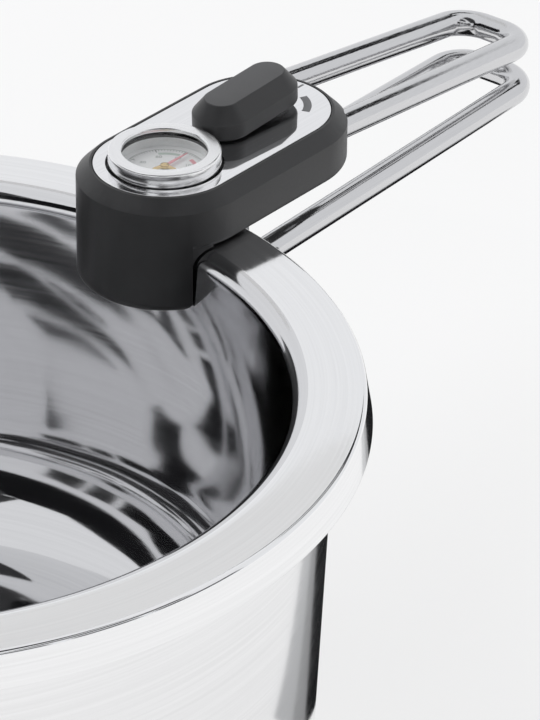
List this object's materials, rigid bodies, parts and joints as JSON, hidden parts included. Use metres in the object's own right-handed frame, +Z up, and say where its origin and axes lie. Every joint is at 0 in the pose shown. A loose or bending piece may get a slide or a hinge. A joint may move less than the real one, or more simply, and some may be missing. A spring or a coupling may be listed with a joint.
{
  "type": "outdoor cooking pot with clamp-on thermometer handle",
  "caption": "Double-walled steel cooking pot with a wide flat rim, and a clamp-on twin-loop wire handle that carries a dial thermometer and a locking lever.",
  "frame": {"origin": "centre of the pot's flat underside, on the surface that it stands on", "axes": "+Z up along the pot's axis; +X from the pot's axis out along the handle; +Y to the left when looking along +X"},
  "size_m": [0.519, 0.336, 0.1847],
  "materials": {
    "pot_steel": "satin",
    "rim_steel": "polished",
    "wire_steel": "polished",
    "plate_steel": "mirror",
    "hardware_steel": "satin",
    "core_aluminium": "matte",
    "housing_plastic": "matte",
    "grip_plastic": "satin",
    "pad_rubber": "matte",
    "gauge_glass": "clear",
    "dial_white": "satin",
    "brass": "satin",
    "copper_tube": "satin",
    "pointer_red": "satin",
    "mark_grey": "matte"
  },
  "bodies": {
    "pot_and_handle": {"inner_bowl": "rim_steel", "rim_ring": "rim_steel", "outer_shell": "pot_steel", "base_core": "core_aluminium", "base_cap": "pot_steel", "housing": "housing_plastic", "bottom_cover": "housing_plastic", "rim_pad": "pad_rubber", "leg_pad": "pad_rubber", "top_plate": "plate_steel", "plate_marks": "mark_grey", "gauge_case": "hardware_steel", "gauge_bezel": "plate_steel", "gauge_lens": "gauge_glass", "lens_seal": "pad_rubber", "reflector_ring": "dial_white", "dial_face": "dial_white", "movement_plate": "brass", "bourdon_coil": "copper_tube", "capillary_tube": "copper_tube", "sensor_bulb": "hardware_steel", "upper_loop": "wire_steel", "anchor_screws": "hardware_steel", "pivot_bracket": "hardware_steel", "bracket_screws": "hardware_steel", "cover_screw": "hardware_steel", "pivot_pin": "hardware_steel", "pin_clips": "hardware_steel", "spindle_bush": "brass"},
    "lower_handle": {"lower_loop": "wire_steel", "lower_jaw": "hardware_steel", "jaw_pad": "pad_rubber", "return_spring": "hardware_steel"},
    "clamp_slide": {"clamp_slide": "hardware_steel"},
    "lever": {"spindle": "hardware_steel", "lock_cam": "hardware_steel", "lever_arm": "hardware_steel", "arm_screw": "hardware_steel", "lever_pin": "hardware_steel", "lever_spring": "hardware_steel"},
    "lever_grip": {"lever_grip": "grip_plastic"},
    "gauge_pointer": {"pointer": "pointer_red", "pointer_hub": "brass", "pointer_spindle": "hardware_steel"}
  },
  "joints": [
    {"name": "lever_turn", "type": "hinge", "parent": "pot_and_handle", "child": "lever", "pos_m": [0.2092, 0, 0.1703], "axis": [0, 0, 1], "range_deg": [-90, 0]},
    {"name": "lever_press", "type": "hinge", "parent": "lever", "child": "lever_grip", "pos_m": [0.187, 0, 0.1752], "axis": [0, 1, 0], "range_deg": [0, 2.5], "stiffness_Nm_per_rad": 2, "springref_deg": -1.15},
    {"name": "lower_swing", "type": "hinge", "parent": "pot_and_handle", "child": "lower_handle", "pos_m": [0.178, 0, 0.1277], "axis": [0, 1, 0], "range_deg": [0, 8]},
    {"name": "clamp_travel", "type": "slide", "parent": "pot_and_handle", "child": "clamp_slide", "axis": [1, 0, 0], "range_m": [0, 0.0043]},
    {"name": "pointer_turn", "type": "hinge", "parent": "pot_and_handle", "child": "gauge_pointer", "pos_m": [0.1527, 0, 0.1688], "axis": [0, 0, 1], "range_deg": [-78, 186]}
  ],
  "couplings": [
    {"joint": "lower_swing", "follows": "lever_turn", "ratio": -0.0888},
    {"joint": "clamp_travel", "follows": "lever_turn", "m_per_rad": -0.002737}
  ]
}
